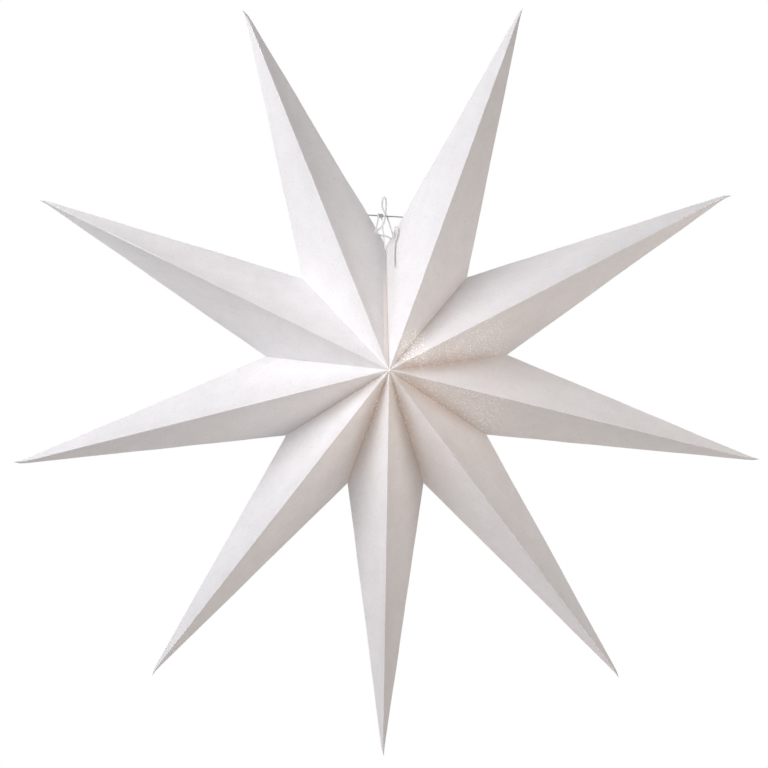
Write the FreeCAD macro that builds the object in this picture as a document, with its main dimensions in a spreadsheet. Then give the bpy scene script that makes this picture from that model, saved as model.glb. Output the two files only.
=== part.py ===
import FreeCAD, Part
import math
import os
import Sketcher

# A nine-pointed advent star of folded paper, with a lampholder and a bulb inside it.
# Each point is one folded sheet: a front ridge, a back ridge, two side folds, and glue flaps along the
# valleys that it shares with its neighbours. The top seam is left open, and a wire and a tied string
# hold its two end sheets together. The origin is the crown of the hanging loop, and the front is -Y.

Vector = FreeCAD.Vector
document = FreeCAD.newDocument("advent_star_lamp")

SIZES = [
    ("TipRadius", 350, "centre of the star to a cut tip"),
    ("TipBlunt", 2, "length of the point lost at the cut tip"),
    ("NotchRadius", 111, "centre to the bottom of a notch"),
    ("HalfDepth", 97, "mid-plane to the front or back centre"),
    ("DroopAngle", 4.2, "largest angle by which the open star sags"),
    ("SeamHalfGap", 1.0, "half the angle of the open seam"),
    ("PaperThickness", 0.4, "doubled paper of a sheet"),
    ("FlapWidth", 9, "glue flap, square to its valley"),
    ("CentreHoleRadius", 1.5, "hole where the sheets meet"),
    ("Overrun", 2, "how far a cut runs past what it cuts"),
    ("LoopRise", 17.7, "crown of the hanging loop, above the hanger wire"),
    ("WireDiameter", 1.1, "hanger wire and stirrup"),
    ("WireRise", 29.4, "hanger wire above the bottom of the notch"),
    ("WireTilt", 3.4, "angle by which the left end of the hanger wire is up"),
    ("WireHalfSpan", 30, "middle of the hanger wire to its bent end"),
    ("WireHookDrop", 8, "length of a bent end"),
    ("WireBendRadius", 2.5, "bend of the wire ends"),
    ("WireClearance", 0.3, "round a wire in its hole"),
    ("WrapSide", -4.4, "middle of the stirrup's wraps along the wire"),
    ("WrapPitch", 1.05, "from one wrap of the stirrup to the next"),
    ("StringDiameter", 1.6, "cotton string"),
    ("StringClearance", 0.4, "round a strand in its punched hole"),
    ("LeftHoleSide", -12.2, "left punched hole from the middle"),
    ("LeftHoleDrop", 16.9, "left punched hole below the hanger wire"),
    ("RightHoleSide", 9.6, "right punched hole from the middle"),
    ("RightHoleDrop", 21.4, "right punched hole below the hanger wire"),
    ("LampDrop", 41, "centre of the star down to the bottom of the bulb"),
    ("GlobeRadius", 22.5, "glass globe of the bulb"),
    ("GlassWall", 0.8, "glass of the globe"),
    ("GlobeShoulderAngle", 45, "slope at which the ball turns into the shoulder"),
    ("GlobeShoulderHeight", 46.5, "where the globe has narrowed to its neck"),
    ("GlobeNeckRadius", 6.9, "glass neck, and the screw cap on it"),
    ("GlobeNeckHeight", 56.5, "top of the glass neck"),
    ("ScrewCapLength", 17, "screw cap of the bulb"),
    ("ScrewCapWall", 0.4, "metal of the screw cap"),
    ("InsulatorHeight", 2.5, "black insulator at the end of the cap"),
    ("InsulatorTopRadius", 3.4, "small end of the insulator"),
    ("ContactHeight", 2, "solder contact at the very end"),
    ("ContactRadius", 2.4, "solder contact"),
    ("ContactTaperShare", 0.7, "end of the solder contact, of its radius"),
    ("StemDiscHeight", 2.5, "glass plate that closes the neck"),
    ("StemRadius", 3, "glass stem"),
    ("StemTaperShare", 0.6, "lower end of the stem, of its radius"),
    ("StemBottomHeight", 44, "lower end of the glass stem"),
    ("FilamentCircle", 5, "circle that the light sticks stand on"),
    ("FilamentRadius", 0.8, "one light stick"),
    ("FilamentBottomHeight", 11, "lower end of the light sticks"),
    ("FilamentLength", 28, "one light stick"),
    ("SupportRadius", 0.4, "wires that carry the light sticks"),
    ("HolderRadius", 13.5, "outside of the lampholder"),
    ("HolderWall", 1.2, "plastic wall of the lampholder"),
    ("SkirtLength", 12, "sleeve below its ledge"),
    ("BlockRise", 4, "contact block above the top of the sleeve"),
    ("LedgeThickness", 4, "ledge that carries the contact block"),
    ("LedgeRadius", 10.5, "opening in the ledge"),
    ("BlockHeight", 22, "contact block"),
    ("BlockClearance", 0.3, "round the block in the sleeve"),
    ("ShellRadius", 7.35, "inside of the threaded shell"),
    ("ShellWall", 0.4, "metal of the threaded shell"),
    ("ShellHeight", 14, "depth of the shell's seat in the block"),
    ("ShellClearance", 0.1, "round the threaded shell"),
    ("WellDepth", 3, "well above the shell for the centre contact"),
    ("WellRadius", 4.5, "well for the centre contact"),
    ("TongueThickness", 0.6, "centre contact"),
    ("TongueGap", 0.4, "bulb contact to centre contact"),
    ("TongueRadius", 2.8, "centre contact"),
    ("RivetRadius", 1, "rivet that holds the centre contact"),
    ("TerminalSide", 8.2, "terminal screw from the middle"),
    ("TerminalRadius", 1.5, "shank of a terminal screw"),
    ("TerminalHeadRadius", 2.6, "head of a terminal screw"),
    ("TerminalHeadHeight", 1.6, "head of a terminal screw"),
    ("TerminalLength", 7, "shank of a terminal screw"),
    ("SlotWidth", 0.7, "driver slot"),
    ("SlotDepth", 0.7, "driver slot"),
    ("ScrewClearance", 0.1, "round a screw in its hole"),
    ("CapBandLength", 7, "straight part of the cap, above the sleeve"),
    ("CapTaperLength", 14, "part where the cap narrows to its neck"),
    ("NeckRadius", 6.5, "neck of the cap"),
    ("CapNeckLength", 12, "neck of the cap"),
    ("InletRadius", 3.25, "cord inlet"),
    ("InletLength", 8, "cord inlet"),
    ("EarDrop", 4, "holes for the stirrup, below the neck of the cap"),
    ("GripScrewRadius", 1.5, "nylon screw that grips the cord"),
    ("GripScrewHeadRadius", 2.4, "its head"),
    ("GripScrewHeadLength", 1.6, "its head"),
    ("GripScrewDrop", 5, "its middle, below the top of the cap"),
    ("SlitDepth", 4.5, "stirrup leg from the mid-plane, where it passes the seam"),
    ("SlitDrop", 3, "where it passes the seam, below the bottom of the notch"),
]

sheet = document.addObject("Spreadsheet::Sheet", "Sizes")
for row, (alias, value, note) in enumerate(SIZES, start=1):
    sheet.set(f"A{row}", alias)
    sheet.set(f"B{row}", str(value))
    sheet.set(f"C{row}", note)
    sheet.setAlias(f"B{row}", alias)
document.recompute()


def number(formula):
    """The value of a formula on the sheet, as a plain number."""
    value = sheet.evalExpression(formula)
    return float(getattr(value, "Value", value))


def add(kind, name, **formulas):
    """A document object whose properties are bound to the sheet."""
    thing = document.addObject(kind, name)
    for prop, formula in formulas.items():
        thing.setExpression(prop, formula)
    return thing


def finish(thing, node):
    """Marks an object as the finished sub-part that the file is named for."""
    thing.Label = node
    FINISHED.append(thing)
    return thing


def cut(name, base, tool):
    thing = document.addObject("Part::Cut", name)
    thing.Base = base
    thing.Tool = tool
    return thing


def join(name, shapes):
    thing = document.addObject("Part::MultiFuse", name)
    thing.Shapes = shapes
    return thing


FINISHED = []
STAR_DROP = "(Sizes.LoopRise + Sizes.WireRise + Sizes.NotchRadius)"
LAMP_BASE = f"-1 * {STAR_DROP} - Sizes.LampDrop"

# The paper points. In a sheet's own frame X is the depth, Y runs round the star and Z out to the tip.
# The star opens evenly and then sags: an angle comes out lower by the droop times its cosine.
POINTS = ["point_top_right", "point_upper_right", "point_lower_right", "point_bottom_right",
          "point_bottom", "point_bottom_left", "point_lower_left", "point_upper_left", "point_top_left"]
PITCH = 360 / len(POINTS)
SEAM = 90


def sagged(angle):
    return f"({angle} - Sizes.DroopAngle * cos({angle} deg))"


def kite(name, depth, left, right):
    """A kite-shaped sketch: the section of a folded point at the centre of the star."""
    sketch = document.addObject("Sketcher::SketchObject", name)
    reaches = [("Front", depth), ("Left", left), ("Back", depth), ("Right", right)]
    lengths = [number(formula) for _, formula in reaches]
    corners = [Vector(-lengths[0], 0, 0), Vector(0, lengths[1], 0),
               Vector(lengths[2], 0, 0), Vector(0, -lengths[3], 0)]
    for index, corner in enumerate(corners):
        sketch.addGeometry(Part.LineSegment(corner, corners[(index + 1) % len(corners)]), False)
    for index in range(len(corners)):
        sketch.addConstraint(Sketcher.Constraint("Coincident", index, 2, (index + 1) % len(corners), 1))
        sketch.addConstraint(Sketcher.Constraint("PointOnObject", index, 1, -1 - index % 2))
    for index, (reach, formula) in enumerate(reaches):
        kind = "DistanceY" if index % 2 else "DistanceX"
        ends = (index, 1, -1, 1) if index in (0, 3) else (-1, 1, index, 1)
        made = sketch.addConstraint(Sketcher.Constraint(kind, *ends, lengths[index]))
        sketch.renameConstraint(made, reach)
        sketch.setExpression(f"Constraints.{reach}", formula)
    return sketch


def pie_slice(name, right, left, inset):
    """The wedge between two valleys. Inset moves both of its sides in by a wall."""
    half = f"(({left} + {right}) / 2)"
    lean = f"(({left} - {right}) / 2)"
    shift = f"({inset} / sin({half} * 1 deg))"
    return add(
        "Part::Cylinder", name, Radius="Sizes.TipRadius", Angle=f"{left} + {right}",
        Height="2 * (Sizes.HalfDepth + Sizes.Overrun)",
        Placement=f"placement(vector(Sizes.HalfDepth + Sizes.Overrun; {shift} * sin({lean} * 1 deg);"
                  f" {shift} * cos({lean} * 1 deg)); rotation(vector(0; 1; 0); -90)"
                  f" * rotation(vector(0; 0; 1); -1 * {right}))")


# The lamp space takes the middle out of every sheet and leaves the flaps along its valleys.
valley_length = "sqrt(Sizes.NotchRadius ^ 2 + Sizes.HalfDepth ^ 2)"
space_depth = f"Sizes.HalfDepth - Sizes.FlapWidth * {valley_length} / Sizes.NotchRadius"
space_radius = f"Sizes.NotchRadius - Sizes.FlapWidth * {valley_length} / Sizes.HalfDepth"
lamp_space = [
    add("Part::Cone", f"Space{side}", Radius1=space_radius, Radius2="0", Height=space_depth,
        Placement=f"placement(vector(0; 0; 0); rotation(vector(0; 1; 0); {turn}))")
    for side, turn in (("Front", -90), ("Back", 90))]
lamp_space.append(add(
    "Part::Cylinder", "CentreHole", Radius="Sizes.CentreHoleRadius",
    Height="2 * (Sizes.HalfDepth + Sizes.Overrun)",
    Placement="placement(vector(-Sizes.HalfDepth - Sizes.Overrun; 0; 0);"
              " rotation(vector(0; 1; 0); 90))"))

fold_length = "(Sizes.TipRadius + Sizes.TipBlunt)"
sheets = {}
for order, point in enumerate(POINTS):
    ideal = SEAM - PITCH * (order + 0.5)
    tip = sagged(ideal)
    seam_left = f"({SEAM} - Sizes.SeamHalfGap)"
    seam_right = f"({SEAM} - 360 + Sizes.SeamHalfGap)"
    valley_left = seam_left if order == 0 else sagged(ideal + PITCH / 2)
    valley_right = seam_right if order == len(POINTS) - 1 else sagged(ideal - PITCH / 2)
    left = f"({valley_left} - {tip})"
    right = f"({tip} - {valley_right})"

    def reach(half):
        return (f"(Sizes.NotchRadius * sin({half} * 1 deg) * {fold_length}"
                f" / ({fold_length} - Sizes.NotchRadius * cos({half} * 1 deg)))")

    mean_reach = f"(({reach(left)} + {reach(right)}) / 2)"
    section = kite(f"Section{order}", "Sizes.HalfDepth", reach(left), reach(right))
    apex = add("Part::Vertex", f"Apex{order}", Z=fold_length)
    outside = document.addObject("Part::Loft", f"Outside{order}")
    outside.Sections = [section, apex]
    outside.Solid = True
    outside.Ruled = True
    outside.Linearize = True
    inside = document.addObject("Part::Scale", f"Inside{order}")
    inside.Base = outside
    inside.Uniform = True
    inside.setExpression(
        "UniformScale", f"1 - Sizes.PaperThickness * sqrt(1 / {mean_reach} ^ 2 + 1 / Sizes.HalfDepth ^ 2"
                        f" + 1 / {fold_length} ^ 2)")
    folded = document.addObject("Part::Common", f"Folded{order}")
    folded.Base = outside
    folded.Tool = pie_slice(f"Wedge{order}", right, left, "0")
    hollow = document.addObject("Part::Common", f"Hollow{order}")
    hollow.Base = inside
    hollow.Tool = pie_slice(f"InnerWedge{order}", right, left, "Sizes.PaperThickness")
    sheets[point] = cut(f"Sheet{order}", folded, join(f"Emptied{order}", [hollow] + lamp_space))
    sheets[point].setExpression(
        "Placement", f"placement(vector(0; 0; -1 * {STAR_DROP});"
                     f" rotation(vector(0; -1; 0); ({tip} - {SEAM})) * rotation(vector(0; 0; 1); 90))")

# Holes in the two end sheets: one for the hanger wire through the side fold, one for the string.
for point, side, hole in (("point_top_left", -1, "Left"), ("point_top_right", 1, "Right")):
    wire_hole = add(
        "Part::Cylinder", f"WireHole{hole}", Radius="Sizes.WireDiameter / 2 + Sizes.WireClearance",
        Height="Sizes.WireHalfSpan",
        Placement="placement(vector(0; 0; -Sizes.LoopRise);"
                  f" rotation(vector(0; 1; 0); {90 * side} + Sizes.WireTilt))")
    string_hole = add(
        "Part::Cylinder", f"StringHole{hole}", Radius="Sizes.StringDiameter / 2 + Sizes.StringClearance",
        Height="2 * Sizes.HalfDepth",
        Placement=f"placement(vector(Sizes.{hole}HoleSide; Sizes.HalfDepth;"
                  f" -Sizes.LoopRise - Sizes.{hole}HoleDrop); rotation(vector(1; 0; 0); 90))")
    sheets[point] = cut(f"Punched{hole}", sheets[point], join(f"Holes{hole}", [wire_hole, string_hole]))

for point in POINTS:
    finish(sheets[point], point)

# The hanger wire: a straight arm across the notch, its ends bent down inside the two end sheets.
wire_radius = "Sizes.WireDiameter / 2"
arm_end = "(Sizes.WireHalfSpan - Sizes.WireBendRadius)"
wire_parts = [add("Part::Cylinder", "Arm", Radius=wire_radius, Height=f"2 * {arm_end}",
                  Placement=f"placement(vector(-1 * {arm_end}; 0; 0); rotation(vector(0; 1; 0); 90))")]
for side, name in ((-1, "Left"), (1, "Right")):
    wire_parts.append(add(
        "Part::Torus", f"Bend{name}", Radius1="Sizes.WireBendRadius", Radius2=wire_radius, Angle3="90",
        Placement=f"placement(vector({side} * {arm_end}; 0; -Sizes.WireBendRadius);"
                  f" rotation(vector(1; 0; 0); 90) * rotation(vector(0; 0; 1); {0 if side > 0 else 90}))"))
    wire_parts.append(add(
        "Part::Cylinder", f"Hook{name}", Radius=wire_radius,
        Height="Sizes.WireHookDrop - Sizes.WireBendRadius",
        Placement=f"placement(vector({side} * Sizes.WireHalfSpan; 0; -Sizes.WireHookDrop);"
                  " rotation(vector(0; 0; 1); 0))"))
hanger = finish(join("HangerWire", wire_parts), "hanger_wire")
hanger.setExpression("Placement", "placement(vector(0; 0; -Sizes.LoopRise);"
                                  " rotation(vector(0; 1; 0); Sizes.WireTilt))")


def arc_route(points, wire_diameter, label):
    """The line of a cord or wire: straight runs, joined by tangent arcs as large as the runs allow."""
    edges = []
    radii = []
    start = points[0]
    for before, corner, after in zip(points, points[1:], points[2:]):
        back = (before - corner).normalize()
        ahead = (after - corner).normalize()
        half_turn = (math.pi - back.getAngle(ahead)) / 2
        shorter = min((before - corner).Length, (after - corner).Length)
        trim = ARC_SHARE * shorter
        radius = trim / math.tan(half_turn)
        centre = corner + (back + ahead).normalize() * (radius / math.cos(half_turn))
        middle = centre + (corner - centre).normalize() * radius
        arc_start = corner + back * trim
        arc_end = corner + ahead * trim
        edges.append(Part.LineSegment(start, arc_start).toShape())
        edges.append(Part.Arc(arc_start, middle, arc_end).toShape())
        radii.append(radius)
        start = arc_end
    edges.append(Part.LineSegment(start, points[-1]).toShape())
    line = Part.Wire(edges)
    print(label, "length", round(line.Length, 1), "radii over diameter",
          [round(radius / wire_diameter, 1) for radius in radii])
    return line


def tube(line, wire_diameter, label):
    """A round solid along a line of runs and arcs."""
    first = line.OrderedEdges[0]
    start = first.valueAt(first.FirstParameter)
    along = first.tangentAt(first.FirstParameter)
    ring = Part.Wire([Part.makeCircle(wire_diameter / 2, start, along)])
    solid = line.makePipeShell([ring], True, True)
    expected = math.pi * (wire_diameter / 2) ** 2 * line.Length
    print(label, "volume over section times length", round(solid.Volume / expected, 4))
    return solid


ARC_SHARE = 0.45
half_wire = number(wire_radius)
wire_diameter = number("Sizes.WireDiameter")
string_diameter = number("Sizes.StringDiameter")
wire_level = -number("Sizes.LoopRise")
wire_way = FreeCAD.Rotation(Vector(0, 1, 0), number("Sizes.WireTilt")).multVec(Vector(1, 0, 0))
slit_level = wire_level - number("Sizes.WireRise + Sizes.SlitDrop")
lamp_base = number(LAMP_BASE)

# Heights in the lampholder. The contact block sits round the end of the screwed-in bulb, and the
# ledge, the sleeve and the cap follow the block.
neck_top = "Sizes.GlobeNeckHeight"
cap_top = "(Sizes.GlobeNeckHeight + Sizes.ScrewCapLength)"
insulator_top = f"({cap_top} + Sizes.InsulatorHeight)"
contact_top = f"({insulator_top} + Sizes.ContactHeight)"
tongue_bottom = f"({contact_top} + Sizes.TongueGap)"
well_top = f"({tongue_bottom} + Sizes.TongueThickness)"
shell_top = f"({well_top} - Sizes.WellDepth)"
ledge_top = f"({shell_top} - Sizes.ShellHeight)"
ledge_bottom = f"({ledge_top} - Sizes.LedgeThickness)"
sleeve_bottom = f"({ledge_bottom} - Sizes.SkirtLength)"
block_top = f"({ledge_top} + Sizes.BlockHeight)"
sleeve_top = f"({block_top} - Sizes.BlockRise)"
shoulder_height = f"({sleeve_top} + Sizes.CapBandLength)"
neck_height = f"({shoulder_height} + Sizes.CapTaperLength)"
holder_top = f"({neck_height} + Sizes.CapNeckLength)"
ear_height = f"({neck_height} - Sizes.EarDrop)"
grip_height = f"({holder_top} - Sizes.GripScrewDrop)"

# The stirrup: three wraps round the hanger wire, and two legs through the open seam, whose ends
# bend into two holes in the cap of the lampholder.
wrap_side = number("Sizes.WrapSide")
wrap_radius = wire_diameter + number("Sizes.WireClearance")
ear_level = lamp_base + number(ear_height)
neck_share = number("Sizes.EarDrop / Sizes.CapTaperLength")
ear_radius = number("Sizes.NeckRadius") * (1 - neck_share) + number("Sizes.HolderRadius") * neck_share
leg_depth = ear_radius + number("Sizes.WireBendRadius")
wire_middle = Vector(0, 0, wire_level)
stirrup = [Part.makeTorus(wrap_radius, half_wire,
                          wire_middle + wire_way * (wrap_side + turn * number("Sizes.WrapPitch")), wire_way)
           for turn in (-1, 0, 1)]
for side in (-1, 1):
    leg_points = [wire_middle + wire_way * wrap_side + Vector(0, side * wrap_radius, 0),
                  Vector(0, side * number("Sizes.SlitDepth"), slit_level),
                  Vector(0, side * leg_depth, ear_level),
                  Vector(0, side * (ear_radius - number("Sizes.HolderWall")), ear_level)]
    stirrup.append(tube(arc_route(leg_points, wire_diameter, "stirrup leg"), wire_diameter, "stirrup leg"))
bail = document.addObject("Part::Feature", "LampholderBail")
bail.Shape = stirrup[0].multiFuse(stirrup[1:]).removeSplitter()
finish(bail, "lampholder_bail")

# The strings, in millimetres: across, depth, and height above the hanger wire. The hanging
# string comes out of the left hole, passes in front of the wire, over the crown and behind the wire,
# and goes into the right hole. The tie string hooks over the wire, crosses the seam in front of the
# hanging string, and its free end turns over once and hangs down.
HANGING_ROUTE = [(-12.2, 0.6, -16.9), (-12.2, -5.6, -16.9), (-9.0, -7.6, -14.2), (-4.4, -5.8, -10.0),
                 (-1.2, -3.0, -3.6), (0.3, -1.7, 3.2), (0.8, -0.8, 10.8), (-0.1, 0.0, 16.9),
                 (-3.3, 0.2, 16.9), (-4.3, 0.8, 10.8), (-2.6, 2.2, 5.0), (-0.6, 2.4, -0.8),
                 (1.6, 0.8, -8.4), (3.8, -4.6, -15.0), (6.6, -8.6, -19.0), (9.6, -8.6, -21.4),
                 (9.6, 0.4, -21.4)]
TIE_ROUTE = [(-7.0, 2.2, -3.2), (-7.0, 2.0, 2.3), (-7.1, -2.0, 2.3), (-7.5, -4.2, -4.4),
             (-8.4, -9.8, -11.6), (-7.6, -11.8, -16.7), (-2.8, -11.4, -18.7), (1.4, -11.0, -19.2),
             (4.4, -11.4, -22.2), (7.5, -11.9, -20.4), (7.2, -11.0, -10.0), (10.7, -11.0, -10.1),
             (10.5, -12.0, -17.8), (7.8, -14.6, -25.8), (7.1, -20.0, -36.2), (7.2, -26.2, -46.4)]
for node, route in (("hanging_string", HANGING_ROUTE), ("tie_string", TIE_ROUTE)):
    line = arc_route([Vector(across, depth, wire_level + height) for across, depth, height in route],
                     string_diameter, node)
    string = document.addObject("Part::Feature", node.title().replace("_", ""))
    string.Shape = tube(line, string_diameter, node)
    finish(string, node)


def turned(name, corners):
    """A turned solid about the lamp's axis, from corners given as radius and height formulas."""
    body = document.addObject("PartDesign::Body", name)
    body.setExpression("Placement.Base.z", LAMP_BASE)
    sketch = body.newObject("Sketcher::SketchObject", f"{name}Profile")
    plane = [item for item in body.Origin.OriginFeatures if item.Role == "XZ_Plane"][0]
    sketch.AttachmentSupport = (plane, [""])
    sketch.MapMode = "FlatFace"
    places = [Vector(number(radius), number(height), 0) for radius, height in corners]
    for index, place in enumerate(places):
        sketch.addGeometry(Part.LineSegment(place, places[(index + 1) % len(places)]), False)
    for index, (radius, height) in enumerate(corners):
        sketch.addConstraint(Sketcher.Constraint("Coincident", index, 2, (index + 1) % len(corners), 1))
        for kind, formula, value, axis in (("DistanceX", radius, places[index].x, -2),
                                           ("DistanceY", height, places[index].y, -1)):
            if formula == "0":
                sketch.addConstraint(Sketcher.Constraint("PointOnObject", index, 1, axis))
                continue
            made = sketch.addConstraint(Sketcher.Constraint(kind, -1, 1, index, 1, value))
            reach_name = f"{'Radius' if kind == 'DistanceX' else 'Height'}{index}"
            sketch.renameConstraint(made, reach_name)
            sketch.setExpression(f"Constraints.{reach_name}", formula)
    turning = body.newObject("PartDesign::Revolution", f"{name}Turned")
    turning.Profile = sketch
    turning.ReferenceAxis = (sketch, ["V_Axis"])
    turning.Angle = 360
    return body


UPRIGHT = "rotation(vector(0; 0; 1); 0)"
ALONG_Y = "rotation(vector(1; 0; 0); -90)"


def rod(name, radius, length, x, y, z, turn=UPRIGHT):
    """A round bar in the lamp, from its first end along its own axis."""
    return add("Part::Cylinder", name, Radius=radius, Height=length,
               Placement=f"placement(vector({x}; {y}; {LAMP_BASE} + {z}); {turn})")


# The bulb: a glass globe with a drawn-in neck, its metal screw cap, and the light sticks inside.


def globe(name, drawn_in):
    """The globe's solid form: a ball that narrows to a straight neck."""
    ball = add("Part::Sphere", f"{name}Ball", Radius=f"Sizes.GlobeRadius - {drawn_in}",
               Placement=f"placement(vector(0; 0; {LAMP_BASE} + Sizes.GlobeRadius); {UPRIGHT})")
    shoulder = "Sizes.GlobeShoulderAngle * 1 deg"
    cone_level = f"(Sizes.GlobeRadius + (Sizes.GlobeRadius - {drawn_in}) * sin({shoulder}))"
    cone = add("Part::Cone", f"{name}Shoulder",
               Radius1=f"(Sizes.GlobeRadius - {drawn_in}) * cos({shoulder})",
               Radius2=f"Sizes.GlobeNeckRadius - {drawn_in}",
               Height=f"Sizes.GlobeShoulderHeight - {cone_level}",
               Placement=f"placement(vector(0; 0; {LAMP_BASE} + {cone_level}); {UPRIGHT})")
    neck = rod(f"{name}Neck", f"Sizes.GlobeNeckRadius - {drawn_in}",
               "Sizes.GlobeNeckHeight - Sizes.GlobeRadius", "0", "0", "Sizes.GlobeRadius")
    return join(name, [ball, cone, neck])


finish(cut("BulbGlobe", globe("GlassOutside", "0"), globe("GlassInside", "Sizes.GlassWall")), "bulb_globe")
finish(turned("BulbScrewCap", [
    ("Sizes.GlobeNeckRadius", neck_top), ("Sizes.GlobeNeckRadius", cap_top),
    ("Sizes.InsulatorTopRadius", cap_top), ("Sizes.InsulatorTopRadius", f"{cap_top} - Sizes.ScrewCapWall"),
    ("Sizes.GlobeNeckRadius - Sizes.ScrewCapWall", f"{cap_top} - Sizes.ScrewCapWall"),
    ("Sizes.GlobeNeckRadius - Sizes.ScrewCapWall", neck_top)]), "bulb_screw_cap")
finish(turned("BulbInsulator", [
    ("0", cap_top), ("Sizes.GlobeNeckRadius - Sizes.ScrewCapWall", cap_top),
    ("Sizes.InsulatorTopRadius", insulator_top), ("0", insulator_top)]), "bulb_insulator")
finish(turned("BulbContact", [
    ("0", insulator_top), ("Sizes.ContactRadius", insulator_top),
    ("Sizes.ContactRadius * Sizes.ContactTaperShare", contact_top), ("0", contact_top)]), "bulb_contact")
finish(turned("BulbStem", [
    ("0", "Sizes.StemBottomHeight"), ("Sizes.StemRadius * Sizes.StemTaperShare", "Sizes.StemBottomHeight"),
    ("Sizes.StemRadius", f"{neck_top} - Sizes.StemDiscHeight"),
    ("Sizes.GlobeNeckRadius - Sizes.GlassWall", f"{neck_top} - Sizes.StemDiscHeight"),
    ("Sizes.GlobeNeckRadius - Sizes.GlassWall", neck_top), ("0", neck_top)]), "bulb_stem")

# Four light sticks stand in a square between two crosses of wire on one rod down from the stem.
filament_top = "(Sizes.FilamentBottomHeight + Sizes.FilamentLength)"
sticks = []
supports = [rod("SupportRod", "Sizes.SupportRadius", "Sizes.StemBottomHeight - Sizes.FilamentBottomHeight"
                " + 2 * Sizes.SupportRadius", "0", "0",
                "(Sizes.FilamentBottomHeight - 2 * Sizes.SupportRadius)")]
for index, (x, y) in enumerate(((1, 0), (0, 1), (-1, 0), (0, -1))):
    sticks.append(rod(f"Stick{index}", "Sizes.FilamentRadius", "Sizes.FilamentLength",
                      f"{x} * Sizes.FilamentCircle", f"{y} * Sizes.FilamentCircle",
                      "Sizes.FilamentBottomHeight"))
    for level, height in (("Low", "(Sizes.FilamentBottomHeight - Sizes.SupportRadius)"),
                          ("High", f"({filament_top} + Sizes.SupportRadius)")):
        supports.append(rod(
            f"Support{level}{index}", "Sizes.SupportRadius", "Sizes.FilamentCircle + Sizes.FilamentRadius",
            "0", "0", height, f"rotation(vector({-y}; {x}; 0); 90)"))
bundle = document.addObject("Part::Compound", "Sticks")
bundle.Links = sticks
finish(bundle, "bulb_filaments")
finish(join("FilamentSupport", supports), "filament_support")

# The lampholder: a sleeve and a cap meet edge to edge round the contact block, which sits on a ledge.
inner_radius = "(Sizes.HolderRadius - Sizes.HolderWall)"
finish(turned("HolderSleeve", [
    (inner_radius, sleeve_bottom), ("Sizes.HolderRadius", sleeve_bottom),
    ("Sizes.HolderRadius", sleeve_top), (inner_radius, sleeve_top),
    (inner_radius, ledge_top), ("Sizes.LedgeRadius", ledge_top),
    ("Sizes.LedgeRadius", ledge_bottom), (inner_radius, ledge_bottom)]), "holder_sleeve")
cap_shell = turned("CapShell", [
    (inner_radius, sleeve_top), ("Sizes.HolderRadius", sleeve_top),
    ("Sizes.HolderRadius", shoulder_height), ("Sizes.NeckRadius", neck_height),
    ("Sizes.NeckRadius", holder_top), ("Sizes.InletRadius", holder_top),
    ("Sizes.InletRadius", f"{holder_top} - Sizes.InletLength"),
    ("Sizes.NeckRadius - Sizes.HolderWall", f"{holder_top} - Sizes.InletLength"),
    ("Sizes.NeckRadius - Sizes.HolderWall", neck_height), (inner_radius, shoulder_height)])
ear_holes = rod("EarHoles", "Sizes.WireDiameter / 2 + Sizes.WireClearance",
                "2 * (Sizes.HolderRadius + Sizes.Overrun)", "0", "-Sizes.HolderRadius - Sizes.Overrun",
                ear_height, ALONG_Y)
grip_hole = rod("GripHole", "Sizes.GripScrewRadius + Sizes.ScrewClearance",
                "Sizes.NeckRadius + Sizes.Overrun", "0", "0", grip_height, ALONG_Y)
finish(cut("HolderCap", cap_shell, join("CapHoles", [ear_holes, grip_hole])), "holder_cap")
grip_start = "(Sizes.InletRadius + Sizes.ScrewClearance)"
finish(join("GripScrew", [
    rod("GripShank", "Sizes.GripScrewRadius", f"Sizes.NeckRadius - {grip_start}", "0", grip_start,
        grip_height, ALONG_Y),
    rod("GripHead", "Sizes.GripScrewHeadRadius", "Sizes.GripScrewHeadLength", "0", "Sizes.NeckRadius",
        grip_height, ALONG_Y)]), "grip_screw")

# The contact block, with the shell's seat, the contact's well and the two terminal screws' holes.
seat_radius = "(Sizes.ShellRadius + Sizes.ShellWall + Sizes.ShellClearance)"
block = turned("BlockBody", [
    (seat_radius, ledge_top), (f"{inner_radius} - Sizes.BlockClearance", ledge_top),
    (f"{inner_radius} - Sizes.BlockClearance", block_top), ("0", block_top), ("0", well_top),
    ("Sizes.WellRadius", well_top), ("Sizes.WellRadius", shell_top), (seat_radius, shell_top)])
terminal_holes = [
    rod(f"TerminalHole{name}", "Sizes.TerminalRadius + Sizes.ScrewClearance",
        "Sizes.TerminalLength + Sizes.Overrun", f"{side} * Sizes.TerminalSide", "0",
        f"{block_top} - Sizes.TerminalLength")
    for side, name in ((-1, "Left"), (1, "Right"))]
rivet_hole = rod("RivetHole", "Sizes.RivetRadius", "Sizes.BlockHeight", "0", "0", well_top)
finish(cut("ContactBlock", block, join("BlockHoles", terminal_holes + [rivet_hole])), "contact_block")
finish(turned("ThreadedShell", [
    ("Sizes.ShellRadius", ledge_top), ("Sizes.ShellRadius + Sizes.ShellWall", ledge_top),
    ("Sizes.ShellRadius + Sizes.ShellWall", shell_top), ("Sizes.ShellRadius", shell_top)]),
    "threaded_shell")
finish(turned("CentreContact", [
    ("0", tongue_bottom), ("Sizes.TongueRadius", tongue_bottom),
    ("Sizes.TongueRadius", well_top), ("Sizes.RivetRadius", well_top),
    ("Sizes.RivetRadius", block_top), ("0", block_top)]), "centre_contact")
terminals = []
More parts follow.
